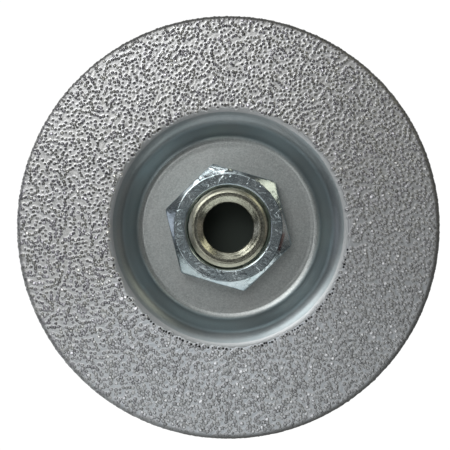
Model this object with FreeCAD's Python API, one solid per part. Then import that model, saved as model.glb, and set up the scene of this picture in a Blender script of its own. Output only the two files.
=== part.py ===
import FreeCAD, Part
import math
import os

# Diamond grinding wheel: a pressed steel disc with a brazed diamond face, clamped by a hex
# nut onto a flanged, internally threaded hub. Millimetres.
# Frame: origin at the centre of the hub's rear seating face, +Z along the spin axis towards
# the abrasive face. The wheel is a body of revolution apart from the hexagon of the nut.

# ---------------------------------------------------------------- driving dimensions
disc_d = 115.0              # outer diameter over the abrasive (4-1/2 in wheel)
grit_t = 0.70               # thickness of the brazed diamond layer, face and rim
grit_in_r = 32.3            # inner radius of the abrasive band
plate_t = 2.2               # thickness of the pressed steel core
bore_d = 22.23              # arbor bore of the core (7/8 in)
rim_r = 1.0                 # rounding of the core's front rim edge

recess_h = 7.8              # depth of the pressed recess, face to floor
recess_ang = 58.5           # slope of the recess wall from the plane of the disc
floor_flat_r = 23.1         # radius where the flat floor ends
foot_r = 3.10               # concave radius at the foot of the recess wall
shoulder_r = 6.40           # convex radius between the recess wall and the face

flange_d = 39.0             # rear flange of the hub
flange_t = 5.0
pilot_d = 22.10             # plain pilot that centres the core
pilot_h = 1.35
relief_r = 9.95             # thread run-out groove between the pilot and the male thread
relief_top = 7.7            # level where the male thread starts
male_d = 22.0               # M22 x 1.5 right-hand thread, major diameter
pitch = 1.5
pitch_r = 10.513            # pitch-line radius of the thread
male_crest_r = 10.88        # crest of the male thread, within its 6g tolerance
male_root_r = 10.10
thread_gap = 0.07           # radial clearance between the male crests and the nut's bore
flank_gap = 0.05            # each flank of the male thread stands back by this much, axially
groove_z0 = 7.10            # level of the male groove's centre line at +X
hub_len = 14.0              # rear face to front end
hub_cham_r = 9.5            # radius of the flat end land, outer edge
hub_cham_deg = 30.0         # end chamfer, from the plane of the end land
hub_sink_r = 8.50           # radius of the flat end land, inner edge
sink_ang = 60.0             # countersink flank, from the axis
spindle_minor_r = 6.93      # 5/8 in - 11 female thread, minor radius
rear_cbore_r = 8.2          # rear counterbore that clears the spindle's thread run-out
rear_cbore_h = 2.0

nut_af = 31.0               # hexagon across flats
nut_h = 6.5
nut_corner_deg = 44.2       # angle of one hexagon corner from +X
nut_edge_r = 1.1            # rounding of the hexagon's vertical edges
nut_cham_r = 14.65          # radius of the flat end face inside the 30 degree chamfer
nut_cham_deg = 30.0
nut_sink_r = 11.9           # countersink radius at both ends of the nut's bore

# ---------------------------------------------------------------- derived levels
z_floor_back = flange_t
z_floor = z_floor_back + plate_t
z_face = z_floor + recess_h
z_back = z_face - plate_t
z_grit = z_face + grit_t
core_r = disc_d / 2.0 - grit_t
nut_z0 = z_floor
nut_z1 = z_floor + nut_h


# ---------------------------------------------------------------- helpers
def rounded_wire(points, put):
    """Closed wire through (u, v, radius) corners, each rounded by a tangent arc of its
    radius (0 keeps the corner sharp); put maps (u, v) to a 3-D vector."""
    n = len(points)
    starts, ends, mids = [], [], []
    for i in range(n):
        pu, pv, _ = points[i - 1]
        cu, cv, r = points[i]
        nu, nv, _ = points[(i + 1) % n]
        if r <= 0:
            starts.append((cu, cv))
            ends.append((cu, cv))
            mids.append(None)
            continue
        la, lb = math.hypot(pu - cu, pv - cv), math.hypot(nu - cu, nv - cv)
        au, av = (pu - cu) / la, (pv - cv) / la
        bu, bv = (nu - cu) / lb, (nv - cv) / lb
        half = math.acos(max(-1.0, min(1.0, au * bu + av * bv))) / 2.0
        back = r / math.tan(half)
        hu, hv = au + bu, av + bv
        lh = math.hypot(hu, hv)
        hu, hv = hu / lh, hv / lh
        far = r / math.sin(half)
        starts.append((cu + au * back, cv + av * back))
        ends.append((cu + bu * back, cv + bv * back))
        mids.append((cu + hu * (far - r), cv + hv * (far - r)))
    edges = []
    for i in range(n):
        if mids[i] is not None:
            edges.append(Part.Arc(put(*starts[i]), put(*mids[i]), put(*ends[i])).toShape())
        a, b = put(*ends[i]), put(*starts[(i + 1) % n])
        if (b - a).Length > 1e-6:
            edges.append(Part.LineSegment(a, b).toShape())
    return Part.Wire(edges)


def turned(points):
    """Solid of revolution about Z from (r, z, corner radius) points."""
    wire = rounded_wire(points, lambda u, v: FreeCAD.Vector(u, 0, v))
    return Part.Face(wire).revolve(FreeCAD.Vector(0, 0, 0), FreeCAD.Vector(0, 0, 1), 360)


def thread_groove(level, turns, r_low, r_high, half_width):
    """Helical trapezoid to cut away, right-handed, with its centre line at the given level
    at +X; half_width(r) is half its axial width at radius r."""
    path = Part.makeLongHelix(pitch, pitch * turns, pitch_r)
    path.translate(FreeCAD.Vector(0, 0, level))
    corners = [(r_low, -half_width(r_low)), (r_high, -half_width(r_high)),
               (r_high, half_width(r_high)), (r_low, half_width(r_low))]
    points = [FreeCAD.Vector(r, 0, level + dz) for r, dz in corners]
    sweep = Part.BRepOffsetAPI.MakePipeShell(Part.Wire(path.Edges))
    sweep.setFrenetMode(True)
    sweep.add(Part.makePolygon(points + [points[0]]), False, False)
    sweep.build()
    sweep.makeSolid()
    return sweep.shape()


def male_groove_half(r):
    return 0.25 * pitch + (r - pitch_r) * math.tan(math.radians(30)) + flank_gap


def save(shape, node):
    solids = shape.Solids
    assert shape.isValid(), node + " is not valid"
    assert len(solids) == 1, node + " is not one solid"
    assert solids[0].Volume > 0, node + " is inside out"
    solids[0].exportStep("parts/" + node + ".step")
    box = solids[0].BoundBox
    print("%-14s volume %9.1f mm3  x %.2f..%.2f  z %.2f..%.2f" % (
        node, solids[0].Volume, box.XMin, box.XMax, box.ZMin, box.ZMax))


# ---------------------------------------------------------------- wheel core
# One pressed sheet: flat floor with the arbor bore, sloping recess wall, flat face.
slope = math.radians(recess_ang)
half = math.tan(slope / 2.0)
foot_corner = floor_flat_r + foot_r * half            # corner of floor line and wall line
face_corner = foot_corner + recess_h / math.tan(slope)
off = plate_t * half                                  # shift of both corners on the rear side
bore_r = bore_d / 2.0

core = turned([
    (bore_r, z_floor_back + 0.3, 0),
    (bore_r + 0.3, z_floor_back, 0),
    (foot_corner + off, z_floor_back, foot_r + plate_t),
    (face_corner + off, z_back, shoulder_r - plate_t),
    (core_r, z_back, 0.5),
    (core_r, z_face, rim_r),
    (face_corner, z_face, shoulder_r),
    (foot_corner, z_floor, foot_r),
    (bore_r + 0.3, z_floor, 0),
    (bore_r, z_floor - 0.3, 0),
])

# ---------------------------------------------------------------- diamond layer
# Brazed abrasive band on the face, carried round the front edge and down the rim. Its inner
# edge lies on the last of the shoulder's rounding, so its underside follows that arc there.
rim_low = z_back + 0.35
face_flat = face_corner + shoulder_r * half           # where the shoulder becomes the flat face
lean = math.asin((face_flat - grit_in_r) / shoulder_r)
layer = turned([
    (grit_in_r, z_face - shoulder_r * (1.0 - math.cos(lean)), 0),
    (face_flat - shoulder_r * math.tan(lean / 2.0), z_face, shoulder_r),
    (core_r, z_face, rim_r),
    (core_r, rim_low + 0.55, 0),
    (core_r, rim_low, 0),
    (core_r + grit_t, rim_low + 0.45, 0.4),
    (core_r + grit_t, z_grit, rim_r + grit_t),
    (grit_in_r + 0.55, z_grit, 0.5),
])

# ---------------------------------------------------------------- flanged hub
# The 5/8 in - 11 spindle thread is smoothed to its minor cylinder; the M22 thread is cut.
cham_h = (male_crest_r - hub_cham_r) * math.tan(math.radians(hub_cham_deg))
sink_h = (hub_sink_r - spindle_minor_r) / math.tan(math.radians(sink_ang))
hub_blank = turned([
    (rear_cbore_r + 0.3, 0, 0),
    (flange_d / 2.0, 0, 0.6),
    (flange_d / 2.0, flange_t, 0.6),
    (pilot_d / 2.0, flange_t, 0),
    (pilot_d / 2.0, flange_t + pilot_h - 0.3, 0),
    (pilot_d / 2.0 - 0.3, flange_t + pilot_h, 0),
    (relief_r, flange_t + pilot_h, 0),
    (relief_r, relief_top, 0),
    (male_root_r, relief_top, 0),
    (male_crest_r, relief_top + 0.5, 0),
    (male_crest_r, hub_len - cham_h, 0),
    (hub_cham_r, hub_len, 0.15),
    (hub_sink_r, hub_len, 0.15),
    (spindle_minor_r, hub_len - sink_h, 0),
    (spindle_minor_r, rear_cbore_h + 0.7, 0),
    (spindle_minor_r + 0.7, rear_cbore_h, 0),
    (rear_cbore_r, rear_cbore_h, 0),
    (rear_cbore_r, 0.3, 0),
])
male_groove = thread_groove(groove_z0, 5.6, male_root_r, male_crest_r + 0.08, male_groove_half)
hub = hub_blank.cut(male_groove)

# ---------------------------------------------------------------- lock nut
# The nut's own thread is smoothed to a cylinder that clears the crests of the hub's thread.
nut_bore_r = male_crest_r + thread_gap
corner_r = nut_af / 2.0 / math.cos(math.radians(30))
hexagon = rounded_wire(
    [(corner_r * math.cos(math.radians(nut_corner_deg + 60 * k)),
      corner_r * math.sin(math.radians(nut_corner_deg + 60 * k)), nut_edge_r) for k in range(6)],
    lambda u, v: FreeCAD.Vector(u, v, nut_z0))
prism = Part.Face(hexagon).extrude(FreeCAD.Vector(0, 0, nut_h))
drop = (corner_r + 0.5 - nut_cham_r) * math.tan(math.radians(nut_cham_deg))
sink = nut_sink_r - nut_bore_r
ring = turned([
    (nut_sink_r, nut_z0, 0),
    (nut_cham_r, nut_z0, 0),
    (corner_r + 0.5, nut_z0 + drop, 0),
    (corner_r + 0.5, nut_z1 - drop, 0),
    (nut_cham_r, nut_z1, 0),
    (nut_sink_r, nut_z1, 0),
    (nut_bore_r, nut_z1 - sink, 0),
    (nut_bore_r, nut_z0 + sink, 0),
])
nut = prism.common(ring)

os.makedirs("parts", exist_ok=True)
save(core, "wheel_core")
save(layer, "diamond_layer")
save(hub, "flanged_hub")
save(nut, "lock_nut")
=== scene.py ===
import bpy
import math
import numpy as np
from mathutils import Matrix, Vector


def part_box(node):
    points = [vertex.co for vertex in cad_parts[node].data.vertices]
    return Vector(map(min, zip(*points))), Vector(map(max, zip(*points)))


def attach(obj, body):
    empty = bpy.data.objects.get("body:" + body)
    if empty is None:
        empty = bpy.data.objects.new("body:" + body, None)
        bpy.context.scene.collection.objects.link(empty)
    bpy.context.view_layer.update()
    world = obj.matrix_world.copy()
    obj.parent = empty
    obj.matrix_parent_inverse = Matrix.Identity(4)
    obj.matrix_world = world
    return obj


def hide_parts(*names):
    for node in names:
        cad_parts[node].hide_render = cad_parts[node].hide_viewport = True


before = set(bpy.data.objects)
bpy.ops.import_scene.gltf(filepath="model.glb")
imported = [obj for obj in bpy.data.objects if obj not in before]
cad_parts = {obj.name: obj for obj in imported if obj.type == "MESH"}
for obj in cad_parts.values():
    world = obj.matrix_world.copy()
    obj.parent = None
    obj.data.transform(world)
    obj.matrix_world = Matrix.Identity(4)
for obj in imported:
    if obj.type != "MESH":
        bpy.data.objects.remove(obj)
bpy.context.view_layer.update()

# Diamond grinding wheel. Lengths below are in millimetres and become metres when a mesh is
# made. The wheel is turned about Z; its abrasive face looks up.

MM = 0.001
TAU = 2.0 * math.pi

# ------------------------------------------------------------------ dimensions from the frame
core_lo, core_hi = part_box("wheel_core")
grit_lo, grit_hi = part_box("diamond_layer")
hub_lo, hub_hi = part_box("flanged_hub")
nut_lo, nut_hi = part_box("lock_nut")

FLOOR_BACK = core_lo[2] / MM                 # rear of the core's floor, on the flange: 5.0
FACE = core_hi[2] / MM                       # front face of the core: 15.0
CORE_R = core_hi[0] / MM                     # 56.8
GRIT_TOP = grit_hi[2] / MM                   # 15.7
GRIT_R = grit_hi[0] / MM                     # 57.5
HUB_TOP = hub_hi[2] / MM                     # 14.0
FLANGE_R = hub_hi[0] / MM                    # 19.5
NUT_Z0 = nut_lo[2] / MM                      # 7.2
NUT_Z1 = nut_hi[2] / MM                      # 13.7
PLATE = 2.2
FLOOR = FLOOR_BACK + PLATE                   # 7.2
BACK = FACE - PLATE                          # 12.8
PITCH = 1.5
PITCH_R = 10.513
GROOVE_Z = 7.10
TAN30 = math.tan(math.radians(30))


# ------------------------------------------------------------------ mesh helpers
def arc_path(points, step=0.12):
    """Polyline through (r, z, rounding) corners, open, arcs and runs sampled finely."""
    out = []
    n = len(points)
    for i in range(n):
        cu, cv, rad = points[i]
        if rad <= 0 or i in (0, n - 1):
            out.append((cu, cv))
            continue
        pu, pv, _ = points[i - 1]
        nu, nv, _ = points[i + 1]
        la, lb = math.hypot(pu - cu, pv - cv), math.hypot(nu - cu, nv - cv)
        au, av = (pu - cu) / la, (pv - cv) / la
        bu, bv = (nu - cu) / lb, (nv - cv) / lb
        half = math.acos(max(-1.0, min(1.0, au * bu + av * bv))) / 2.0
        back = rad / math.tan(half)
        hu, hv = au + bu, av + bv
        lh = math.hypot(hu, hv)
        far = rad / math.sin(half)
        mu, mv = cu + hu / lh * far, cv + hv / lh * far
        a0 = math.atan2(cv + av * back - mv, cu + au * back - mu)
        a1 = math.atan2(cv + bv * back - mv, cu + bu * back - mu)
        d = (a1 - a0 + math.pi) % TAU - math.pi
        k = max(3, int(math.ceil(abs(d) * rad / step)), int(math.ceil(abs(d) / 0.16)))
        for j in range(k + 1):
            a = a0 + d * j / k
            out.append((mu + rad * math.cos(a), mv + rad * math.sin(a)))
    clean = [out[0]]
    for p in out[1:]:
        if math.hypot(p[0] - clean[-1][0], p[1] - clean[-1][1]) > 1e-5:
            clean.append(p)
    return clean


def closed_path(points, step=0.12):
    """The same for a closed outline, whose first corner is sharp."""
    loop = arc_path(points + [points[0]], step)
    return loop[:-1]


def refine(path, longest):
    """Adds points so that no run of the path is longer than a limit."""
    out = [path[0]]
    for a, b in zip(path, path[1:]):
        k = max(1, int(math.ceil(math.hypot(b[0] - a[0], b[1] - a[1]) / longest)))
        for j in range(1, k + 1):
            out.append((a[0] + (b[0] - a[0]) * j / k, a[1] + (b[1] - a[1]) * j / k))
    return out


def link(name, me):
    ob = bpy.data.objects.new(name, me)
    bpy.context.scene.collection.objects.link(ob)
    return ob


def ring_mesh(name, rho, z, theta, sharp=None):
    """Closed ring: rho[i, j] and z[i, j] for angle i and outline point j, wrapping both ways."""
    nt, npts = rho.shape
    x = rho * np.cos(theta)[:, None]
    y = rho * np.sin(theta)[:, None]
    co = np.stack([x, y, z], axis=-1).reshape(-1, 3) * MM
    i = np.arange(nt)[:, None]
    j = np.arange(npts)[None, :]
    i2, j2 = (i + 1) % nt, (j + 1) % npts
    quads = np.stack([i * npts + j + 0 * i2, i2 * npts + j, i2 * npts + j2, i * npts + j2 + 0 * i2],
                     axis=-1).reshape(-1, 4)
    r0, z0 = rho[0], z[0]
    area = float(np.sum(r0 * np.roll(z0, -1) - np.roll(r0, -1) * z0))
    # outlines run so that faces look outwards
    flip = area < 0
    run = np.concatenate([[0], np.cumsum(np.hypot(np.diff(np.append(r0, r0[0])),
                                                  np.diff(np.append(z0, z0[0]))))])
    v = run / run[-1]
    u = np.append((theta - theta[0]) / TAU, 1.0)
    ui = np.stack([u[i + 0 * j], u[i + 1 + 0 * j], u[i + 1 + 0 * j], u[i + 0 * j]], axis=-1).reshape(-1, 4)
    vj = np.stack([v[j + 0 * i], v[j + 0 * i], v[j + 1 + 0 * i], v[j + 1 + 0 * i]], axis=-1).reshape(-1, 4)
    if flip:
        quads, ui, vj = quads[:, ::-1], ui[:, ::-1], vj[:, ::-1]
    me = bpy.data.meshes.new(name)
    me.vertices.add(len(co))
    me.vertices.foreach_set("co", co.ravel())
    me.loops.add(quads.size)
    me.loops.foreach_set("vertex_index", quads.ravel().astype(np.int32))
    me.polygons.add(len(quads))
    me.polygons.foreach_set("loop_start", np.arange(0, quads.size, 4, dtype=np.int32))
    me.update(calc_edges=True)
    uv = me.uv_layers.new(name="OFBake")
    uv.data.foreach_set("uv", (np.stack([ui, vj], axis=-1).reshape(-1, 2) * 0.996 + 0.002).ravel())
    me.validate()
    me.shade_smooth()
    if sharp:
        me.set_sharp_from_angle(angle=math.radians(sharp))
    return link(name, me)


def turned(name, path, n=360, sharp=30):
    theta = np.arange(n) * TAU / n
    r = np.array([p[0] for p in path])[None, :].repeat(n, axis=0)
    z = np.array([p[1] for p in path])[None, :].repeat(n, axis=0)
    return ring_mesh(name, r, z, theta, sharp)


def saw(z, theta, level, pitch):
    """Axial distance from the nearest turn of a right-hand helix."""
    t = z - level - pitch * theta / TAU
    return np.abs(t - pitch * np.round(t / pitch))


# ------------------------------------------------------------------ materials
def new_mat(name):
    m = bpy.data.materials.new(name)
    m.use_nodes = True
    nt = m.node_tree
    for n in list(nt.nodes):
        nt.nodes.remove(n)
    out = nt.nodes.new("ShaderNodeOutputMaterial")
    bsdf = nt.nodes.new("ShaderNodeBsdfPrincipled")
    nt.links.new(bsdf.outputs["BSDF"], out.inputs["Surface"])
    return m, nt, bsdf


class Net:
    """Small helper that adds nodes and returns their output sockets."""

    def __init__(self, nt):
        self.nt = nt
        self.coord = nt.nodes.new("ShaderNodeTexCoord").outputs["Object"]

    def _set(self, sock, value):
        if isinstance(value, bpy.types.NodeSocket):
            self.nt.links.new(value, sock)
        else:
            sock.default_value = value

    def noise(self, scale, detail=2.0, rough=0.5, vec=None, distort=0.0):
        n = self.nt.nodes.new("ShaderNodeTexNoise")
        self._set(n.inputs["Vector"], vec or self.coord)
        n.inputs["Scale"].default_value = scale
        n.inputs["Detail"].default_value = detail
        n.inputs["Roughness"].default_value = rough
        n.inputs["Distortion"].default_value = distort
        return n.outputs["Fac"]

    def noise1(self, scale, w, detail=2.0, rough=0.5):
        n = self.nt.nodes.new("ShaderNodeTexNoise")
        n.noise_dimensions = "1D"
        self._set(n.inputs["W"], w)
        n.inputs["Scale"].default_value = scale
        n.inputs["Detail"].default_value = detail
        n.inputs["Roughness"].default_value = rough
        return n.outputs["Fac"]

    def voronoi(self, scale, feature="F1", out="Distance", vec=None, randomness=1.0):
        n = self.nt.nodes.new("ShaderNodeTexVoronoi")
        n.feature = feature
        self._set(n.inputs["Vector"], vec or self.coord)
        n.inputs["Scale"].default_value = scale
        n.inputs["Randomness"].default_value = randomness
        return n.outputs[out]

    def math(self, op, a, b=0.0, c=0.0, clamp=False):
        n = self.nt.nodes.new("ShaderNodeMath")
        n.operation = op
        n.use_clamp = clamp
        self._set(n.inputs[0], a)
        self._set(n.inputs[1], b)
        self._set(n.inputs[2], c)
        return n.outputs[0]

    def remap(self, x, a, b, lo=0.0, hi=1.0, smooth=False):
        n = self.nt.nodes.new("ShaderNodeMapRange")
        if smooth:
            n.interpolation_type = "SMOOTHSTEP"
        self._set(n.inputs["Value"], x)
        n.inputs["From Min"].default_value = a
        n.inputs["From Max"].default_value = b
        n.inputs["To Min"].default_value = lo
        n.inputs["To Max"].default_value = hi
        return n.outputs["Result"]

    def mix(self, fac, a, b, mode="MIX"):
        n = self.nt.nodes.new("ShaderNodeMix")
        n.data_type = "RGBA"
        n.blend_type = mode
        self._set(n.inputs[0], fac)
        self._set(n.inputs[6], a)
        self._set(n.inputs[7], b)
        return n.outputs[2]

    def xyz(self):
        n = self.nt.nodes.new("ShaderNodeSeparateXYZ")
        self._set(n.inputs[0], self.coord)
        return n.outputs[0], n.outputs[1], n.outputs[2]

    def radius(self):
        x, y, z = self.xyz()
        rr = self.math("SQRT", self.math("ADD", self.math("MULTIPLY", x, x),
                                         self.math("MULTIPLY", y, y)))
        return rr, z

    def attr(self, name):
        n = self.nt.nodes.new("ShaderNodeAttribute")
        n.attribute_name = name
        return n.outputs["Fac"]

    def bump(self, height, strength, distance, normal=None):
        n = self.nt.nodes.new("ShaderNodeBump")
        self._set(n.inputs["Height"], height)
        n.inputs["Strength"].default_value = strength
        n.inputs["Distance"].default_value = distance
        if normal is not None:
            self._set(n.inputs["Normal"], normal)
        return n.outputs["Normal"]


def rgb(r, g, b):
    return (r, g, b, 1.0)


def paint_material():
    """Satin metallic silver paint over pressed steel, finely speckled."""
    m, nt, b = new_mat("core_silver_paint")
    g = Net(nt)
    rad, z = g.radius()
    speck = g.noise(2600.0, 3.0, 0.6)
    fleck = g.voronoi(3300.0, out="Color")
    fleck_v = g.nt.nodes.new("ShaderNodeSeparateColor")
    g._set(fleck_v.inputs[0], fleck)
    cloud = g.noise(120.0, 3.0, 0.55)
    rings = g.noise1(1500.0, rad, 3.0, 0.7)
    tone = g.math("ADD", g.math("MULTIPLY", speck, 0.55),
                  g.math("ADD", g.math("MULTIPLY", fleck_v.outputs[0], 0.25),
                         g.math("MULTIPLY", rings, 0.20)))
    col = g.mix(g.remap(tone, 0.30, 0.72), rgb(0.378, 0.412, 0.408), rgb(0.620, 0.655, 0.640))
    # painted shade and cool reflection on the recess wall between the floor and the face: dark at the foot, paler
    # above, dark again, then mid grey under the shoulder
    wall = g.remap(z, 0.00725, 0.0082, smooth=True)
    wall_painted_shade = g.mix(g.remap(rad, 0.0253, 0.0268, smooth=True), rgb(0.258, 0.322, 0.350), rgb(0.430, 0.520, 0.555))
    wall_painted_shade = g.mix(g.remap(rad, 0.0284, 0.0291, smooth=True), wall_painted_shade, rgb(0.215, 0.260, 0.280))
    wall_painted_shade = g.mix(g.remap(rad, 0.0298, 0.0306, smooth=True), wall_painted_shade, rgb(0.330, 0.395, 0.420))
    col = g.mix(g.math("MULTIPLY", wall, 0.80), col, wall_painted_shade, "MIX")
    # a narrow paler strip next to the braze
    wobble = g.math("MULTIPLY", g.math("SUBTRACT", cloud, 0.5), 0.0003)
    strip = g.remap(g.math("ADD", rad, wobble), 0.03118, 0.03136, smooth=True)
    front = g.remap(z, 0.0136, 0.0140)
    col = g.mix(g.math("MULTIPLY", g.math("MULTIPLY", strip, front), 0.85), col, rgb(0.62, 0.64, 0.65), "MIX")
    col = g.mix(g.remap(cloud, 0.35, 0.70, 0.0, 0.30), col, rgb(0.53, 0.53, 0.52))
    g._set(b.inputs["Base Color"], col)
    b.inputs["Metallic"].default_value = 0.85
    g._set(b.inputs["Roughness"], g.remap(g.math("ADD", speck, g.math("MULTIPLY", rings, 0.5)),
                                          0.4, 1.1, 0.28, 0.42))
    h = g.math("ADD", g.math("MULTIPLY", speck, 0.7), g.math("MULTIPLY", fleck_v.outputs[1], 0.3))
    n1 = g.bump(h, 0.35, 0.00006)
    g._set(b.inputs["Normal"], g.bump(rings, 0.12, 0.00005, n1))
    return m


def braze_material():
    """Nickel braze frozen round dark diamonds: pale satin metal, grey glassy crystals."""
    m, nt, b = new_mat("brazed_diamond")
    g = Net(nt)
    tone_and_painted_light = g.attr("tone_and_painted_light")
    pit = g.attr("pit")
    rough_and_painted_light = g.attr("rough_and_painted_light")
    x, y, z0 = g.xyz()
    east_shade = g.math("MAXIMUM", g.math("DIVIDE", x, g.radius()[0]), 0.0)
    stone = g.remap(g.attr("stone"), 0.35, 0.65)
    rad, z = g.radius()
    rim = g.remap(rad, 0.0555, 0.0569, smooth=True)
    fine = g.noise(5200.0, 3.0, 0.6)
    broad = g.noise(150.0, 3.0, 0.55)
    warm = g.noise(420.0, 2.0, 0.5)
    braze = g.mix(g.remap(fine, 0.30, 0.72), rgb(0.55, 0.555, 0.55), rgb(0.79, 0.79, 0.775))
    braze = g.mix(g.remap(broad, 0.42, 0.66, 0.0, 0.35), braze, rgb(0.58, 0.59, 0.62))
    braze = g.mix(g.remap(warm, 0.55, 0.75, 0.0, 0.30), braze, rgb(0.68, 0.67, 0.58))
    # painted light: the braze is painted paler and bluer away from the north-west side
    braze = g.mix(g.remap(rough_and_painted_light, 0.0, 0.6, 0.95, 0.0), braze, rgb(0.85, 0.90, 0.95))
    # painted highlight: the ring of braze round each crystal is painted near-white
    ring_painted_highlight = g.math("MULTIPLY", tone_and_painted_light, g.math("SUBTRACT", 1.0, stone))
    braze = g.mix(g.math("MULTIPLY", ring_painted_highlight, 0.85), braze, rgb(0.94, 0.955, 0.965))
    cast = g.mix(g.remap(g.noise(330.0, 2.0, 0.5), 0.44, 0.58), rgb(0.94, 0.92, 1.0), rgb(1.0, 1.0, 0.94))
    # the crystals' colour cast is painted bluer on the same far side, as painted light
    cast = g.mix(g.remap(rough_and_painted_light, 0.0, 0.6, 0.85, 0.0), cast, rgb(0.95, 0.975, 1.0))
    crystal = g.mix(tone_and_painted_light, rgb(0.0, 0.0, 0.003), cast)
    c = g.mix(stone, braze, crystal)
    # painted shade: the east side of the layer is darkened
    c = g.mix(g.math("MULTIPLY", g.math("MULTIPLY", east_shade, east_shade), 0.46), c, rgb(0.30, 0.30, 0.30))
    # painted shade on the rounded outer edge, strongest in the east and weakest towards the west-south-west
    west = g.math("DIVIDE", g.math("ADD", g.math("MULTIPLY", x, -0.966), g.math("MULTIPLY", y, -0.259)), rad)
    c = g.mix(g.math("MULTIPLY", rim, g.remap(west, 0.25, 0.90, 0.98, 0.40)), c, rgb(0.165, 0.165, 0.16))
    # the pin holes are painted near-black and matte as painted shade
    c = g.mix(pit, c, rgb(0.012, 0.012, 0.013))
    g._set(b.inputs["Base Color"], c)
    metal = g.math("MULTIPLY", g.remap(stone, 0.0, 1.0, 0.95, 0.80), g.math("SUBTRACT", 1.0, pit))
    g._set(b.inputs["Metallic"], metal)
    rough = g.math("ADD", g.remap(rough_and_painted_light, 0.0, 1.0, 0.60, 0.42), g.remap(stone, 0.0, 1.0, 0.0, -0.08))
    rough = g.math("ADD", rough, g.remap(fine, 0.3, 0.7, -0.05, 0.08))
    g._set(b.inputs["Roughness"], g.math("ADD", rough, g.math("MULTIPLY", pit, 0.4)))
    g._set(b.inputs["Normal"], g.bump(fine, 0.30, 0.00004))
    return m


def nickel_material():
    """Turned steel with bright, slightly warm nickel plating and fine tool marks."""
    m, nt, b = new_mat("hub_nickel_plate")
    g = Net(nt)
    rad, z = g.radius()
    marks = g.noise1(4200.0, g.math("ADD", rad, g.math("MULTIPLY", z, 0.9)), 4.0, 0.75)
    spots = g.noise(1400.0, 4.0, 0.65)
    stain = g.noise(260.0, 3.0, 0.6)
    c = g.mix(g.remap(marks, 0.3, 0.7), rgb(0.400, 0.402, 0.325), rgb(0.620, 0.625, 0.505))
    c = g.mix(g.remap(spots, 0.50, 0.72, 0.0, 0.55), c, rgb(0.335, 0.33, 0.265))
    c = g.mix(g.remap(stain, 0.45, 0.70, 0.0, 0.40), c, rgb(0.585, 0.575, 0.455))
    # painted reflection: the flat end land is painted dark, as it reflects the dark space overhead
    ragged = g.math("ADD", rad, g.math("MULTIPLY", g.math("SUBTRACT", marks, 0.5), 0.0009))
    end_land_painted_dark = g.math("MULTIPLY", g.remap(ragged, 0.00862, 0.00892, smooth=True),
                        g.remap(ragged, 0.00922, 0.00952, 1.0, 0.0, smooth=True))
    c = g.mix(g.math("MULTIPLY", end_land_painted_dark, 0.86), c, rgb(0.13, 0.128, 0.105))
    # painted shade on the thread crests down the bore
    c = g.mix(g.remap(rad, 0.00690, 0.00715, 0.72, 0.0, smooth=True), c, rgb(0.08, 0.08, 0.07))
    x, y, z0 = g.xyz()
    # painted shade on the north-west side of the end chamfer
    side = g.math("DIVIDE", g.math("ADD", g.math("MULTIPLY", x, -0.469), g.math("MULTIPLY", y, 0.883)), rad)
    nw_painted_shade = g.math("MULTIPLY", g.remap(side, 0.70, 0.95, 0.0, 0.62), g.remap(rad, 0.01000, 0.01025, smooth=True))
    c = g.mix(nw_painted_shade, c, rgb(0.10, 0.10, 0.085))
    g._set(b.inputs["Base Color"], c)
    b.inputs["Metallic"].default_value = 1.0
    rough = g.math("ADD", g.remap(marks, 0.3, 0.7, 0.15, 0.27), g.remap(spots, 0.45, 0.75, 0.0, 0.16))
    g._set(b.inputs["Roughness"], g.math("ADD", rough, g.remap(rad, 0.0094, 0.0098, 0.0, 0.07)))
    n1 = g.bump(marks, 0.45, 0.00006)
    g._set(b.inputs["Normal"], g.bump(spots, 0.30, 0.00007, n1))
    return m


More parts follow.
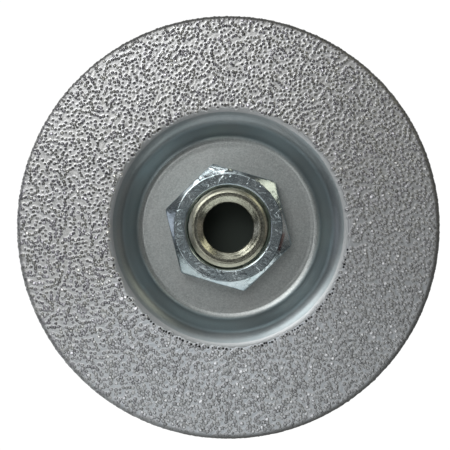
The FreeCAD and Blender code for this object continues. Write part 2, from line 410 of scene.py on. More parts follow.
def zinc_material():
    """Bright blue-white zinc on a forged nut, with handling dents and scratches."""
    m, nt, b = new_mat("nut_zinc_plate")
    g = Net(nt)
    cloud = g.noise(210.0, 3.0, 0.6)
    fine = g.noise(2400.0, 4.0, 0.65)
    dents = g.remap(g.voronoi(620.0), 0.10, 0.28, smooth=True)
    pits = g.remap(g.voronoi(1500.0), 0.05, 0.16, smooth=True)
    some = g.remap(g.noise(330.0, 2.0, 0.5), 0.50, 0.62, 0.0, 1.0)
    stretch = nt.nodes.new("ShaderNodeMapping")
    nt.links.new(g.coord, stretch.inputs["Vector"])
    stretch.inputs["Rotation"].default_value = (0.0, 0.0, 0.6)
    stretch.inputs["Scale"].default_value = (1.0, 14.0, 1.0)
    scratch = g.noise(420.0, 3.0, 0.7, vec=stretch.outputs["Vector"])
    c = g.mix(g.remap(cloud, 0.35, 0.65), rgb(0.45, 0.535, 0.565), rgb(0.57, 0.645, 0.665))
    c = g.mix(g.remap(fine, 0.55, 0.78, 0.0, 0.45), c, rgb(0.74, 0.755, 0.76))
    c = g.mix(g.math("MULTIPLY", g.math("SUBTRACT", 1.0, pits), some), c, rgb(0.20, 0.21, 0.22))
    x, y, z0 = g.xyz()
    # painted reflection: a reddish-brown strip on the nut's east corner
    along = g.math("ADD", g.math("MULTIPLY", x, 0.962), g.math("MULTIPLY", y, -0.272))
    across = g.math("ABSOLUTE", g.math("ADD", g.math("MULTIPLY", x, 0.272), g.math("MULTIPLY", y, 0.962)))
    east_painted_reflection = g.math("MULTIPLY", g.remap(along, 0.01430, 0.01460, smooth=True),
                    g.remap(along, 0.01500, 0.01560, 1.0, 0.0, smooth=True))
    east_painted_reflection = g.math("MULTIPLY", east_painted_reflection, g.remap(across, 0.0018, 0.0034, 0.72, 0.0, smooth=True))
    c = g.mix(east_painted_reflection, c, rgb(0.26, 0.14, 0.13))
    g._set(b.inputs["Base Color"], c)
    b.inputs["Metallic"].default_value = 1.0
    g._set(b.inputs["Roughness"], g.math("ADD", g.remap(fine, 0.3, 0.75, 0.15, 0.26),
                                         g.remap(scratch, 0.45, 0.70, 0.0, 0.06)))
    h = g.math("ADD", g.math("MULTIPLY", g.math("MULTIPLY", dents, some), 1.0),
               g.math("MULTIPLY", fine, 0.25))
    n1 = g.bump(h, 0.45, 0.00008)
    g._set(b.inputs["Normal"], g.bump(scratch, 0.10, 0.00005, n1))
    return m


PAINT = paint_material()
BRAZE = braze_material()
NICKEL = nickel_material()
ZINC = zinc_material()


def finish_piece(ob, mat, body, node):
    ob.data.materials.clear()
    ob.data.materials.append(mat)
    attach(ob, body)
    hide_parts(node)


# ------------------------------------------------------------------ wheel core
slope = math.radians(58.5)
half_t = math.tan(slope / 2.0)
FOOT_R, SHOULDER_R = 3.10, 6.40
foot_corner = 23.1 + FOOT_R * half_t
face_corner = foot_corner + (FACE - FLOOR) / math.tan(slope)
off = PLATE * half_t

bore = 22.23 / 2.0
core_out = arc_path([
    (bore, FLOOR_BACK + 0.3, 0),
    (bore + 0.3, FLOOR_BACK, 0.12),
    (foot_corner + off, FLOOR_BACK, FOOT_R + PLATE),
    (face_corner + off, BACK, SHOULDER_R - PLATE),
    (CORE_R, BACK, 0.5),
    (CORE_R, FACE, 1.0),
    (face_corner, FACE, SHOULDER_R),
    (foot_corner, FLOOR, FOOT_R),
    (bore + 0.3, FLOOR, 0.12),
    (bore, FLOOR - 0.3, 0),
], 0.15)
core_out = refine(core_out + [core_out[0]], 0.7)[:-1]
core_r = np.array([p[0] for p in core_out])
core_z = np.array([p[1] for p in core_out])
# a faint pressed ring where the floor turns up, and shallow waves left by the press tool
on_floor = (np.abs(core_z - FLOOR) < 0.35) & (core_r < 24.2) & (core_r > bore + 0.6)
NCORE = 344
th = np.arange(NCORE) * TAU / NCORE
rho = core_r[None, :].repeat(NCORE, axis=0)
zz = core_z[None, :].repeat(NCORE, axis=0)
ring = 0.035 * np.exp(-((core_r - 23.20) / 0.16) ** 2) - 0.02 * np.exp(-((core_r - 22.75) / 0.25) ** 2)
wave = 0.012 * np.sin(3 * th[:, None] + 0.5 * core_r[None, :]) + 0.008 * np.sin(5 * th[:, None] + 1.9)
zz = zz + np.where(on_floor, ring, 0.0)[None, :] + np.where(on_floor, 1.0, 0.0)[None, :] * wave * \
    np.clip((24.0 - core_r) / 2.0, 0, 1)[None, :]
core = ring_mesh("pressed_core", rho, zz, th, sharp=38)
finish_piece(core, PAINT, "wheel", "wheel_core")


# ------------------------------------------------------------------ diamond layer
# Braze and crystals as a fine height field over the face, the rounded edge and the rim.
rng = np.random.default_rng(41)
R_IN = 32.2
R_EDGE = 1.0
FLAT_END = CORE_R - R_EDGE                       # 55.8
S_FLAT = FLAT_END - R_IN
S_ARC = S_FLAT + R_EDGE * math.pi / 2.0
RIM_LOW = 13.15
S_END = S_ARC + (FACE - R_EDGE - RIM_LOW)
GRID = 0.125
BASE = 0.17                                      # thickness of the bare braze
TOP = GRIT_TOP - FACE                            # 0.7, tallest crystal

face_flat = face_corner + SHOULDER_R * math.tan(slope / 2.0)   # where the shoulder becomes the face
inner_extra = 0.9                                # room for an uneven inner boundary
s_grid = np.arange(-inner_extra, S_END + 1e-6, GRID)
s_grid = np.append(s_grid[s_grid < S_END - 0.5 * GRID], S_END)
NS = len(s_grid)
SECTORS = 8
per = int(round(TAU * 50.0 / GRID / SECTORS))
NT = per * SECTORS
th_grid = np.arange(NT) * TAU / NT


def base_line(s):
    """Radius, level and outward direction of the core's surface at run s."""
    a = np.clip((s - S_FLAT) / R_EDGE, 0.0, math.pi / 2.0)
    low = np.maximum(s - S_ARC, 0.0)
    r = np.where(s < S_FLAT, R_IN + s, FLAT_END + R_EDGE * np.sin(a))
    dip = np.maximum(face_flat - r, 0.0)                 # the shoulder falls away inwards
    fall = SHOULDER_R - np.sqrt(SHOULDER_R ** 2 - dip * dip)
    z = np.where(s < S_FLAT, FACE - fall, FACE - R_EDGE + R_EDGE * np.cos(a) - low)
    return r, z, np.sin(a) - dip / SHOULDER_R, np.cos(a)


br, bz, bnr, bnz = base_line(s_grid)
reach = np.maximum(br, 30.0)

# crystals: short crooked chains, then single ones in what is left
cell = 0.66
S_LO, S_HI = -0.15, S_END - 0.10
cols = int((S_HI - S_LO) / cell) + 3


class Crowd:
    """Keeps placed crystals apart: rings of s, each with its own angular bins."""

    def __init__(self):
        self.bins = {}
        self.s, self.t = [], []

    def key(self, s, t):
        i = int((s - S_LO) / cell) + 1
        r = float(base_line(np.array([s]))[0][0])
        n = int(TAU * r / cell)
        return i, n, int((t % TAU) / TAU * n)

    def clear(self, s, t, gap):
        i0 = int((s - S_LO) / cell) + 1
        r = max(30.0, min(GRIT_R, R_IN + s))
        for i in (i0 - 1, i0, i0 + 1):
            row = self.bins.get(i)
            if not row:
                continue
            n = row["n"]
            j0 = int((t % TAU) / TAU * n)
            for j in (j0 - 2, j0 - 1, j0, j0 + 1, j0 + 2):
                for k in row.get(j % n, ()):
                    ds = s - self.s[k]
                    dt = ((t - self.t[k] + math.pi) % TAU - math.pi) * r
                    if ds * ds + dt * dt < gap * gap:
                        return False
        return True

    def add(self, s, t):
        i = int((s - S_LO) / cell) + 1
        r = max(30.0, min(GRIT_R, R_IN + S_LO + (i - 0.5) * cell))
        row = self.bins.setdefault(i, {"n": int(TAU * r / cell)})
        j = int((t % TAU) / TAU * row["n"])
        row.setdefault(j, []).append(len(self.s))
        self.s.append(s)
        self.t.append(t % TAU)


crowd = Crowd()
target = 7400
tries = 0
rand = rng.random(400000)
ri = 0


def rnd():
    global ri
    ri = (ri + 1) % len(rand)
    return float(rand[ri])


def pick():
    # even over area: radius squared is uniform on the flat, then the rim by share
    if rnd() < 0.08:
        return S_FLAT + rnd() * (S_HI - S_FLAT), rnd() * TAU
    a = (R_IN + S_LO) ** 2
    b = FLAT_END ** 2
    return math.sqrt(a + rnd() * (b - a)) - R_IN, rnd() * TAU


in_chain = []
while tries < 24000 and len(crowd.s) < target:
    tries += 1
    s, t = pick()
    if not crowd.clear(s, t, 0.92):
        continue
    crowd.add(s, t)
    in_chain.append(0.0)
    if tries < 5200:
        in_chain[-1] = 1.0
        heading = rnd() * TAU
        for _ in range(int(2 + rnd() * 7)):
            heading += (rnd() - 0.5) * 1.7
            step = 0.78 + 0.20 * rnd()
            r = max(30.0, min(GRIT_R, R_IN + s))
            s2 = s + step * math.cos(heading)
            t2 = t + step * math.sin(heading) / r
            if not (S_LO < s2 < S_HI) or not crowd.clear(s2, t2, 0.74):
                break
            crowd.add(s2, t2)
            in_chain.append(1.0)
            s, t = s2, t2

# the braze starts a little further out on one side
def start_line(t):
    q = 0.5 + 0.5 * np.cos(t - math.radians(285))
    return -0.02 + 0.28 * q * q * (3.0 - 2.0 * q)


gs = np.array(crowd.s)
gt = np.array(crowd.t)
in_chain = np.array(in_chain)
inside = gs > start_line(gt) + 0.16
gs, gt, in_chain = gs[inside], gt[inside], in_chain[inside]
NG = len(gs)
order = rng.random((NG, 24))
print("crystals", NG, "grid", NT, NS)

# bare braze: low swells, drawn thin at the uneven inner boundary
k1 = [(rng.integers(20, 90), rng.random() * TAU, rng.random() * 0.9 + 0.2) for _ in range(14)]
edge = np.zeros(NT)
for m, ph, am in k1:
    edge += am * np.sin(int(m) * th_grid + ph)
edge = start_line(th_grid) + 0.07 * edge / np.std(edge)
swell = np.zeros((NT, NS))
for _ in range(16):
    m, q, ph = int(rng.integers(30, 260)), rng.random() * 5.0 + 0.3, rng.random() * TAU
    swell += np.sin(m * th_grid[:, None] + q * s_grid[None, :] + ph)
swell /= np.std(swell)
into = np.clip((s_grid[None, :] - edge[:, None]) / 0.35, 0.0, 1.0)
into = into * into * (3 - 2 * into)
rim_up = 0.20 * np.clip((s_grid - S_FLAT) / R_EDGE, 0.0, 1.0)[None, :]    # thicker round the rim
height = (BASE + 0.018 * swell + rim_up) * into - 0.06 * (1 - into)
tone_and_painted_light = np.zeros((NT, NS))
stone = np.zeros((NT, NS))

# a weight that peaks on the north-west side: there the crystals stand taller, steeper and smaller and the braze
# is less rough; the same weight carries painted light, with crystals painted darker on that side and the braze
# painted paler and bluer opposite
def nw_weight_at(t):
    q = np.clip(0.5 + 0.60 * np.cos(t - math.radians(112)), 0.0, 1.0)
    return q * q * (3.0 - 2.0 * q)


for k in range(NG):
    o = order[k]
    s0, t0 = gs[k], gt[k]
    r0 = max(30.0, min(GRIT_R, R_IN + s0))
    nw_weight = float(nw_weight_at(t0))
    if in_chain[k]:
        big = 0.39 + 0.11 * o[0]                  # half width of the crystal
    else:
        big = 0.35 + 0.21 * o[0] * o[0]
    big *= 1.20 - 0.20 * nw_weight
    tall = (0.23 + 0.20 * o[1]) * (0.62 + 0.38 * nw_weight)
    if s0 > S_FLAT:
        tall *= 0.42
    w = big + 0.30
    i0, i1 = np.searchsorted(s_grid, s0 - w), np.searchsorted(s_grid, s0 + w)
    jc = t0 / TAU * NT
    jw = int(w / r0 / TAU * NT) + 1
    jj = np.arange(int(jc) - jw, int(jc) + jw + 2)
    v = s_grid[i0:i1][None, :] - s0
    u = ((jj - jc) * TAU / NT * r0)[:, None]
    # faceted block: flat tilted top and five to seven sloping flanks round it
    nf = 5 + int(o[2] * 3)
    tilt_a, tilt = o[3] * TAU, (0.03 + 0.20 * o[4]) * (0.4 + 0.6 * nw_weight)
    painted_glint = o[20] < 0.10
    if painted_glint:                                     # a large facet all these crystals share, turned to the north-west lamp, its top painted white as a painted glint
        turn = math.radians(130) - t0
        tilt_a, tilt = math.atan2(-math.cos(turn), -math.sin(turn)) + 0.5 * (o[3] - 0.5), 0.30 + 0.14 * o[4]
    block = tall + (u * math.cos(tilt_a) + v * math.sin(tilt_a)) * tilt
    spin = o[5] * TAU
    fall = np.full_like(block, 9.0)
    for f in range(nf):
        a = spin + TAU * (f + 0.35 * (o[6 + f] - 0.5)) / nf
        steep = (0.62 + 0.80 * o[14 + f % 8]) * (0.78 + 0.50 * o[21]) * (0.85 + 0.15 * nw_weight)
        d = big * (0.86 + 0.24 * o[(6 + 2 * f) % 24])
        fall = np.minimum(fall, (d - (u * math.cos(a) + v * math.sin(a))) * steep)
    block = np.minimum(block, fall)
    # braze drawn up round the crystal, a little higher on one side
    dist = np.sqrt(u * u + v * v)
    lean = 1.0 + 0.35 * (u * math.cos(spin) + v * math.sin(spin)) / (big + 0.2)
    skirt = (0.22 * tall * lean) * np.exp(-(np.maximum(dist - big * 0.90, 0.0) / 0.10) ** 2)
    block = np.where(dist > w, -1.0, block)
    box = np.ix_(jj % NT, np.arange(i0, i1))
    sub = height[box]
    cand = BASE * 0.9 + rim_up[:, i0:i1] + np.maximum(block, skirt)
    kk = 0.06
    hh = np.clip(0.5 + 0.5 * (cand - sub) / kk, 0.0, 1.0)
    height[box] = np.where(dist > w, sub, sub * (1 - hh) + cand * hh + kk * hh * (1 - hh))
    own = np.clip((block - skirt + 0.02) / 0.04, 0.0, 1.0)
    stone[box] = np.maximum(stone[box], own)
    # painted shade and light on each crystal: the flanks are painted dark and the top of a larger crystal paler
    # as if lit, both darker on the north-west side; glint tops are painted white, and a ring of braze round each
    # crystal is painted pale as a painted highlight
    core_light = np.clip((fall - 0.50 * tall) / (0.35 * tall), 0.0, 1.0)
    flank_painted_shade = 0.04 + 0.07 * o[23] + 0.11 * (1.0 - nw_weight)
    top_painted_light = 1.0 if painted_glint else 0.26 + 0.34 * o[22] + 0.36 * (1.0 - nw_weight)
    tone = flank_painted_shade + (top_painted_light - flank_painted_shade) * core_light
    # painted highlight ring round the crystal, brighter where the braze is drawn higher
    pale = (0.80 + 0.15 * lean - 0.15) * np.exp(-((dist - 1.22 * big) / (0.34 * big)) ** 2)
    pale = np.where(stone[box] > 0.3, tone_and_painted_light[box], np.maximum(tone_and_painted_light[box], pale))
    tone_and_painted_light[box] = np.where(own > 0.3, tone, np.where(dist > w, tone_and_painted_light[box], pale))

# pin holes where the braze stops short of the shoulder, in broken rows
pit = np.zeros((NT, NS))
t0 = 0.0
while t0 < TAU:
    deg = math.degrees(t0)
    row = 0.74 if 196 < deg < 350 else (0.22 if 100 < deg < 150 else 0.05)
    r0 = R_IN
    if rnd() < row:
        s0 = edge[int(t0 / TAU * NT) % NT] + 0.34 + 0.50 * rnd() * rnd()
        size = 0.20 + 0.12 * rnd()
        i0, i1 = np.searchsorted(s_grid, s0 - 0.5), np.searchsorted(s_grid, s0 + 0.5)
        jc = t0 / TAU * NT
        jj = np.arange(int(jc) - 7, int(jc) + 9)
        v = s_grid[i0:i1][None, :] - s0
        u = ((jj - jc) * TAU / NT * r0)[:, None]
        hole = np.clip((size - np.sqrt(u * u + v * v)) / 0.12 + 0.5, 0.0, 1.0)
        box = np.ix_(jj % NT, np.arange(i0, i1))
        height[box] = height[box] * (1.0 - hole) + 0.02 * hole
        pit[box] = np.maximum(pit[box], hole)
    t0 += (0.55 + 0.75 * rnd()) / r0

# fine grain of the frozen braze
height += 0.008 * (rng.random((NT, NS)) - 0.5)
height = np.minimum(height, TOP - 0.01 - 0.04 * rng.random((NT, NS)))
# keep the braze thin where it runs out, and let it end cleanly at the foot of the rim
foot = np.clip((S_END - s_grid) / 0.30, 0.0, 1.0)[None, :]
height = np.where(foot < 1.0, height * (0.25 + 0.75 * foot) - 0.05 * (1 - foot), height)
start = np.clip((s_grid + inner_extra) / 0.25, 0.0, 1.0)[None, :]
height = height * start - 0.06 * (1 - start)
rise = np.clip(height / TOP, 0.0, 1.0)


def sector(k):
    """One eighth of the layer as a closed shell: braze on top, a plain seat below."""
    name = "diamond_band_%d" % (k + 1)
    js = np.arange(k * per, (k + 1) * per + 1)
    th = js * TAU / NT
    hsec = height[js % NT]
    nt_ = len(js)
    r = br[None, :] + bnr[None, :] * hsec
    z = bz[None, :] + bnz[None, :] * hsec
    top = np.stack([r * np.cos(th)[:, None], r * np.sin(th)[:, None], z], axis=-1)
    # seat: a few rows just inside the core's skin
    rows = np.unique(np.concatenate([[0], np.searchsorted(s_grid, [S_FLAT * 0.5, S_FLAT - 0.1,
                                     S_FLAT + 0.4, S_FLAT + 0.8, S_FLAT + 1.2, S_ARC]), [NS - 1]]))
    nb = len(rows)
    sink = np.full(nb, -0.10)
    rb = br[rows] + bnr[rows] * sink
    zb = bz[rows] + bnz[rows] * sink
    low = np.stack([rb[None, :] * np.cos(th)[:, None], rb[None, :] * np.sin(th)[:, None],
                    np.broadcast_to(zb[None, :], (nt_, nb))], axis=-1)
    co = np.concatenate([top.reshape(-1, 3), low.reshape(-1, 3)]) * MM
    nv = nt_ * NS

    def quads_of(n_a, n_b, base, flip):
        a = np.arange(n_a - 1)[:, None]
        b = np.arange(n_b - 1)[None, :]
        q = np.stack([a * n_b + b, (a + 1) * n_b + b, (a + 1) * n_b + b + 1, a * n_b + b + 1],
                     axis=-1).reshape(-1, 4) + base
        return q[:, ::-1] if flip else q

    q_top = quads_of(nt_, NS, 0, True)
    q_low = quads_of(nt_, nb, nv, False)
    a = np.arange(nt_ - 1)
    first = np.stack([a * NS, (a + 1) * NS, nv + (a + 1) * nb, nv + a * nb], axis=-1)
    last = np.stack([a * NS + NS - 1, nv + a * nb + nb - 1, nv + (a + 1) * nb + nb - 1,
                     (a + 1) * NS + NS - 1], axis=-1)
    quads = np.concatenate([q_top, q_low, first[:, ::-1], last[:, ::-1]])
    side0 = np.concatenate([np.arange(NS), nv + np.arange(nb)[::-1]])
    side1 = np.concatenate([(nt_ - 1) * NS + np.arange(NS),
                            nv + (nt_ - 1) * nb + np.arange(nb)[::-1]])[::-1]
    loops = np.concatenate([quads.ravel(), side0, side1]).astype(np.int32)
    starts = np.concatenate([np.arange(len(quads)) * 4, [quads.size, quads.size + len(side0)]])
    me = bpy.data.meshes.new(name)
    me.vertices.add(len(co))
    me.vertices.foreach_set("co", co.ravel())
    me.loops.add(len(loops))
    me.loops.foreach_set("vertex_index", loops)
    me.polygons.add(len(starts))
    me.polygons.foreach_set("loop_start", starts.astype(np.int32))
    me.update(calc_edges=True)
    # flat map for the finish: the top takes most of the square
    uvt = np.empty((len(co), 2))
    fu = (np.arange(nt_) / (nt_ - 1))[:, None]
    fv = ((s_grid - s_grid[0]) / (s_grid[-1] - s_grid[0]))[None, :]
    uvt[:nv, 0] = (0.002 + 0.996 * fu + 0 * fv).ravel()
    uvt[:nv, 1] = (0.002 + 0.93 * fv + 0 * fu).ravel()
    fb = (np.arange(nb) / (nb - 1))[None, :]
    uvt[nv:, 0] = (0.002 + 0.996 * fu + 0 * fb).ravel()
    uvt[nv:, 1] = (0.998 - 0.03 * fb + 0 * fu).ravel()
    luv = uvt[loops]
    nq = q_top.size + q_low.size
    m1 = len(first) * 4
    seg = luv[nq:nq + m1].reshape(-1, 4, 2)
    seg[:, :, 1] = np.array([0.940, 0.940, 0.944, 0.944])[None, :]
    seg = luv[nq + m1:nq + 2 * m1].reshape(-1, 4, 2)
    seg[:, :, 1] = np.array([0.950, 0.954, 0.954, 0.950])[None, :]
    rest = nq + 2 * m1
    for c, side in enumerate((side0, side1)):
        p = (co[side] / MM)
        rr = np.hypot(p[:, 0], p[:, 1])
        luv[rest:rest + len(side), 0] = 0.01 + 0.45 * c + 0.4 * (rr - 31.0) / 27.0
        luv[rest:rest + len(side), 1] = 0.957 + 0.006 * (p[:, 2] - 13.0) / 3.0
        rest += len(side)
    uv = me.uv_layers.new(name="OFBake")
    uv.data.foreach_set("uv", luv.ravel())
    at = me.attributes.new("rise", "FLOAT", "POINT")
    vals = np.zeros(len(co))
    vals[:nv] = rise[js % NT].ravel()
    at.data.foreach_set("value", vals)
    at = me.attributes.new("stone", "FLOAT", "POINT")
    vals = np.zeros(len(co))
    vals[:nv] = stone[js % NT].ravel()
    at.data.foreach_set("value", vals)
    at = me.attributes.new("tone_and_painted_light", "FLOAT", "POINT")
    vals = np.zeros(len(co))
    vals[:nv] = tone_and_painted_light[js % NT].ravel()
    at.data.foreach_set("value", vals)
    at = me.attributes.new("pit", "FLOAT", "POINT")
    vals = np.zeros(len(co))
    vals[:nv] = pit[js % NT].ravel()
    at.data.foreach_set("value", vals)
    at = me.attributes.new("rough_and_painted_light", "FLOAT", "POINT")
    vals = np.zeros(len(co))
    vals[:nv] = np.repeat(nw_weight_at(th_grid[js % NT]), NS)
    at.data.foreach_set("value", vals)
    me.validate()
    me.shade_smooth()
    ob = link(name, me)
    finish_piece(ob, BRAZE, "wheel", "diamond_layer")
    return ob


bands = [sector(k) for k in range(SECTORS)]


# ------------------------------------------------------------------ flanged hub
def male_r(z, theta):
    u = saw(z, theta, GROOVE_Z, PITCH)
    return np.clip(PITCH_R + (u - 0.425) / TAN30, 10.10, 10.88)


SPINDLE_PITCH = 25.4 / 11.0


def female_r(z, theta):
    u = saw(z, theta, 1.0, SPINDLE_PITCH)
    return np.clip(6.93 + (u - 0.289) / TAN30, 6.93, 7.94)


NHUB = 216
th = np.arange(NHUB) * TAU / NHUB
rear = arc_path([
    (8.2, 1.2, 0), (8.2, 0.3, 0), (8.5, 0.0, 0.08), (FLANGE_R, 0.0, 0.6), (FLANGE_R, 5.0, 0.6),
    (11.05, 5.0, 0.1), (11.05, 6.05, 0.08), (10.75, 6.35, 0.08), (9.95, 6.35, 0.15),
    (9.95, 7.7, 0.1), (10.10, 7.7, 0)], 0.1)
rear = refine(rear, 1.0)
# crowned end chamfer: it rolls over from the end land and steepens outwards
cr = np.arange(9.42, 10.881, 0.05)
tilt_c = np.radians(3.0 + 26.0 * np.clip((cr - 9.45) / 0.60, 0.0, 1.0) + 4.0 * np.clip((cr - 10.05) / 0.83, 0, 1))
cz = HUB_TOP - np.concatenate([[0.0], np.cumsum(np.tan(0.5 * (tilt_c[1:] + tilt_c[:-1])) * np.diff(cr))])
z_thr = np.arange(7.74, cz[-1] - 0.02, 0.065)
front = list(zip(cr[::-1], cz[::-1]))
n_cham = len(front)
front += arc_path([(9.40, HUB_TOP, 0), (8.5, HUB_TOP, 0.12), (8.37, 13.925, 0)], 0.06)
z_bore = np.arange(13.90, 2.06, -0.085)
tail = [(7.63, 2.0), (7.9, 2.0), (8.2, 2.0)]

n1, n2, n3, n4, n5 = len(rear), len(z_thr), len(front), len(z_bore), len(tail)
npt = n1 + n2 + n3 + n4 + n5
rho = np.zeros((NHUB, npt))
zz = np.zeros((NHUB, npt))
rho[:, :n1] = np.array([p[0] for p in rear])
zz[:, :n1] = np.array([p[1] for p in rear])
Z = z_thr[None, :] + 0 * th[:, None]
lead = np.minimum(10.10 + (Z - 7.7) * 1.56, 10.88)
rho[:, n1:n1 + n2] = np.minimum(male_r(Z, th[:, None]), lead)
zz[:, n1:n1 + n2] = Z
k = n1 + n2
rho[:, k:k + n3] = np.array([p[0] for p in front])
zz[:, k:k + n3] = np.array([p[1] for p in front])
rho[:, k:k + n_cham] = np.minimum(rho[:, k:k + n_cham], male_r(zz[:, k:k + n_cham], th[:, None]))
k += n3
Z = z_bore[None, :] + 0 * th[:, None]
sink = 8.5 - (HUB_TOP - Z) * math.tan(math.radians(60))
cone = 6.93 + np.maximum(2.7 - Z, 0.0)
rho[:, k:k + n4] = np.maximum(np.maximum(female_r(Z, th[:, None]), sink), cone)
zz[:, k:k + n4] = Z
k += n4
rho[:, k:] = np.array([p[0] for p in tail])
zz[:, k:] = np.array([p[1] for p in tail])
hub = ring_mesh("spindle_hub", rho, zz, th, sharp=32)
finish_piece(hub, NICKEL, "hub", "flanged_hub")

# ------------------------------------------------------------------ lock nut
AF2 = 15.5
ER = 1.1
CORNER = math.radians(44.2)
c0 = (AF2 - ER) / math.cos(math.radians(30))
d_t = math.atan(ER * 0.5 / (c0 + ER * math.cos(math.radians(30))))
local = np.concatenate([np.arange(-30, -2.1, 1.0), np.arange(-2.1, 2.11, 0.21), np.arange(3.0, 29.6, 1.0)])
th = np.concatenate([CORNER + math.radians(60 * k) + np.radians(local) for k in range(6)])
delta = np.radians(np.tile(local, 6))
flat = AF2 / np.cos(math.radians(30) - np.abs(delta))
arc = c0 * np.cos(delta) + np.sqrt(np.maximum(ER * ER - (c0 * np.sin(delta)) ** 2, 0.0))
rhex = np.where(np.abs(delta) < d_t, arc, flat)
NN = len(th)


def nut_r(z, theta):
    u = saw(z, theta, GROOVE_Z, PITCH)
    return np.clip(PITCH_R + (u - 0.325) / TAN30, 10.19, 11.05)


# top half of the outline, inside to outside, as fractions; the bottom mirrors it
rows_r, rows_z = [], []


def add_row(r, z):
    rows_r.append(np.broadcast_to(r, (NN,)).copy())
    rows_z.append(np.broadcast_to(z, (NN,)).copy())


CH = 14.65
cham = TAN30                                     # 30 degree chamfer: drop per radius


def worn(r, drop):
    """Drop of the chamfer with the north corner struck flatter and turned a little west."""
    face = math.radians(114.0)
    flat_drop = np.maximum((r * np.cos(th - face) - 14.4) * math.tan(math.radians(22.6)), 0.05)
    w = np.clip((24.0 - np.abs(np.degrees((th - math.radians(108) + math.pi) % TAU - math.pi))) / 8.0, 0.0, 1.0)
    w = w * w * (3.0 - 2.0 * w)
    return drop * (1.0 - w) + flat_drop * w


for q in np.linspace(0.0, 1.0, 4):               # countersink of the bore
    add_row(11.10 + 0.80 * q, NUT_Z1 - 0.80 + 0.80 * q)
for q in np.linspace(0.0, 1.0, 16)[1:]:          # end face
    add_row(11.90 + (CH - 0.16 - 11.90) * q, NUT_Z1)
add_row(CH - 0.05, NUT_Z1 - 0.006)
add_row(CH + 0.06, NUT_Z1 - 0.045)
add_row(CH + 0.16, NUT_Z1 - 0.16 * cham)
for q in np.linspace(0.0, 1.0, 5)[1:]:           # chamfer to the hexagon's edge
    r = CH + 0.16 + (rhex - 0.12 - CH - 0.16) * q
    add_row(r, NUT_Z1 - worn(r, (r - CH) * cham))
edge_z = NUT_Z1 - worn(rhex, (rhex - CH) * cham)
add_row(rhex - 0.03, edge_z - 0.02)
add_row(rhex, edge_z - 0.12)
mid = 0.5 * (NUT_Z0 + NUT_Z1)
for q in (0.25, 0.6, 1.0):
    add_row(rhex, edge_z - 0.12 + (mid - edge_z + 0.12) * q)
top_r, top_z = np.array(rows_r).T, np.array(rows_z).T
low_r = top_r[:, -2::-1]
low_z = (NUT_Z0 + NUT_Z1) - top_z[:, -2::-1]
zb = np.arange(NUT_Z0 + 0.84, NUT_Z1 - 0.82, 0.06)
Z = zb[None, :] + 0 * th[:, None]
inner_r = nut_r(Z, th[:, None])
sinks = np.maximum(11.10 - (Z - NUT_Z0 - 0.80), 11.10 - (NUT_Z1 - 0.80 - Z))
inner_r = np.maximum(inner_r, np.minimum(sinks, 11.10))
rho = np.concatenate([top_r, low_r, inner_r], axis=1)
zz = np.concatenate([top_z, low_z, Z], axis=1)
# small handling dents on the front face and chamfers
x, y = rho * np.cos(th)[:, None], rho * np.sin(th)[:, None]
drng = np.random.default_rng(7)
near_top = (zz > NUT_Z1 - 2.2) & (rho > 11.5)
for _ in range(60):
    a, rr = drng.random() * TAU, 11.9 + drng.random() * 4.6
    if drng.random() < 0.5:
        a = math.radians(225) + (drng.random() - 0.5) * 1.9
    w, d = 0.10 + 0.22 * drng.random(), 0.02 + 0.05 * drng.random()
    dx, dy = x - rr * math.cos(a), y - rr * math.sin(a)
    zz = zz - np.where(near_top, d * np.exp(-(dx * dx + dy * dy) / (w * w)), 0.0)
nut = ring_mesh("hex_lock_nut", rho, zz, th, sharp=None)
nut.data.set_sharp_from_angle(angle=math.radians(50))
finish_piece(nut, ZINC, "nut", "lock_nut")


# ------------------------------------------------------------------ floor
def floor_material():
    m, nt, b = new_mat("studio_floor")
    g = Net(nt)
    n = g.noise(60.0, 3.0, 0.5)
    g._set(b.inputs["Base Color"], g.mix(g.remap(n, 0.3, 0.7), rgb(0.90, 0.90, 0.90), rgb(0.93, 0.93, 0.93)))
    b.inputs["Roughness"].default_value = 0.85
    b.inputs["Specular IOR Level"].default_value = 0.1
    b.inputs["Emission Color"].default_value = rgb(1.0, 1.0, 1.0)
    b.inputs["Emission Strength"].default_value = 0.20
    # the sheet is lit from behind for the camera, and lends the wheel only a plain pale bounce
    glow = nt.nodes.new("ShaderNodeEmission")
    glow.inputs["Color"].default_value = rgb(1.0, 1.0, 1.0)
    glow.inputs["Strength"].default_value = 1.05
    path = nt.nodes.new("ShaderNodeLightPath")
    pick = nt.nodes.new("ShaderNodeMixShader")
    out = [n for n in nt.nodes if n.type == "OUTPUT_MATERIAL"][0]
    nt.links.new(path.outputs["Is Camera Ray"], pick.inputs[0])
    nt.links.new(b.outputs[0], pick.inputs[1])
    nt.links.new(glow.outputs[0], pick.inputs[2])
    nt.links.new(pick.outputs[0], out.inputs["Surface"])
    return m


def disc(name, radius, z, n=96):
    a = np.arange(n) * TAU / n
    co = [(radius * math.cos(t), radius * math.sin(t), z) for t in a]
    me = bpy.data.meshes.new(name)
    me.from_pydata(co, [], [tuple(range(n))])
    me.update()
    return link(name, me)


floor = disc("studio_floor", 6.0, -0.0003)
floor.data.materials.append(floor_material())

# a dark disc under the hub stands in for the shade at the bottom of the bore
pad_m, pad_nt, pad_b = new_mat("bore_painted_shade")
pad_b.inputs["Base Color"].default_value = rgb(0.080, 0.098, 0.086)
pad_b.inputs["Roughness"].default_value = 0.9
bore_shade_disc = disc("bore_painted_shade", 0.017, -0.0001)
bore_shade_disc.data.materials.append(pad_m)


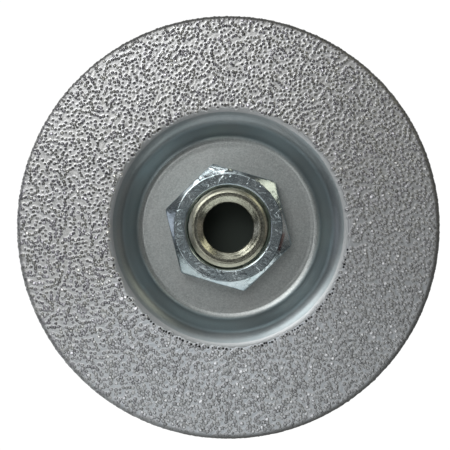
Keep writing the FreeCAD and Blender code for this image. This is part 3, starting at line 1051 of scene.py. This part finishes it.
# ------------------------------------------------------------------ light
def area(name, loc, size, energy, color=(1, 1, 1), size_y=None, aim=(0, 0, 0.01), spread=180):
    ld = bpy.data.lights.new(name, "AREA")
    ld.shape = "RECTANGLE" if size_y else "DISK"
    ld.size = size
    if size_y:
        ld.size_y = size_y
    ld.energy = energy
    ld.color = color
    ld.spread = math.radians(spread)
    ob = bpy.data.objects.new(name, ld)
    ob.location = loc
    ob.visible_camera = False
    d = np.array(aim, dtype=float) - np.array(loc, dtype=float)
    d /= np.linalg.norm(d)
    from mathutils import Vector
    ob.rotation_euler = Vector(d).to_track_quat("-Z", "Y").to_euler()
    bpy.context.scene.collection.objects.link(ob)
    return ob


def polar(azimuth, zenith, dist):
    """Azimuth counter-clockwise from +X, zenith from straight up."""
    a, z = math.radians(azimuth), math.radians(zenith)
    return (dist * math.sin(z) * math.cos(a), dist * math.sin(z) * math.sin(a), dist * math.cos(z))


area("upper_north", polar(88, 24, 0.38), 0.13, 0.0450)
area("middle_north", polar(90, 42, 0.36), 0.14, 0.0430)
area("low_north", polar(90, 62, 0.36), 0.14, 0.0330)
area("upper_north_west", polar(128, 22, 0.36), 0.12, 0.1034)
area("key_north_west", polar(130, 42, 0.33), 0.14, 0.1908)
area("low_north_west", polar(130, 62, 0.33), 0.14, 0.0389)
area("low_west", polar(178, 65, 0.5), 0.18, 0.0642, (0.86, 0.88, 1.00))
area("upper_south_west", polar(225, 25, 0.42), 0.16, 0.0731)
area("overhead_south", polar(268, 12, 0.42), 0.12, 0.0177)
area("fill_south_west", polar(232, 62, 0.6), 0.34, 0.1560, (0.97, 1.00, 0.98), size_y=0.16)
area("fill_south", polar(268, 62, 0.6), 0.34, 0.3250, (0.96, 0.99, 1.00), size_y=0.30)
area("fill_south_east", polar(306, 62, 0.6), 0.34, 0.2350, (0.97, 1.00, 0.98), size_y=0.16)
area("low_east", polar(0, 60, 0.55), 0.25, 0.0365, (1.00, 0.88, 0.80))
area("warm_north_east", polar(42, 60, 0.45), 0.18, 0.1218, (1.00, 0.95, 0.74))

world = bpy.data.worlds.new("studio")
bpy.context.scene.world = world
world.use_nodes = True
wn = world.node_tree
for n in list(wn.nodes):
    wn.nodes.remove(n)
wo = wn.nodes.new("ShaderNodeOutputWorld")
wa = wn.nodes.new("ShaderNodeBackground")
wa.inputs["Color"].default_value = rgb(0.93, 0.97, 1.0)
wa.inputs["Strength"].default_value = 0.06
wb = wn.nodes.new("ShaderNodeBackground")
wb.inputs["Color"].default_value = rgb(1.0, 1.0, 1.0)
wb.inputs["Strength"].default_value = 1.0
wp = wn.nodes.new("ShaderNodeLightPath")
wm = wn.nodes.new("ShaderNodeMixShader")
wn.links.new(wp.outputs["Is Camera Ray"], wm.inputs[0])
wn.links.new(wa.outputs[0], wm.inputs[1])
wn.links.new(wb.outputs[0], wm.inputs[2])
wn.links.new(wm.outputs[0], wo.inputs[0])

# ------------------------------------------------------------------ camera, straight above
cam_data = bpy.data.cameras.new("camera")
cam = bpy.data.objects.new("camera", cam_data)
bpy.context.scene.collection.objects.link(cam)
bpy.context.scene.camera = cam
CAM_Z = 0.465
cam.location = (0.0, 0.0, CAM_Z)
cam.rotation_euler = (0.0, 0.0, 0.0)
cam_data.sensor_width = 36.0
cam_data.sensor_fit = "HORIZONTAL"
cam_data.lens = 212.65 * (CAM_Z - 0.0146) / 0.0575 * 36.0 / 450.0
cam_data.shift_x = -0.00756
cam_data.shift_y = 0.00538
cam_data.clip_start = 0.01
cam_data.clip_end = 50.0

bpy.context.scene.view_settings.view_transform = "Standard"
bpy.context.scene.view_settings.look = "None"
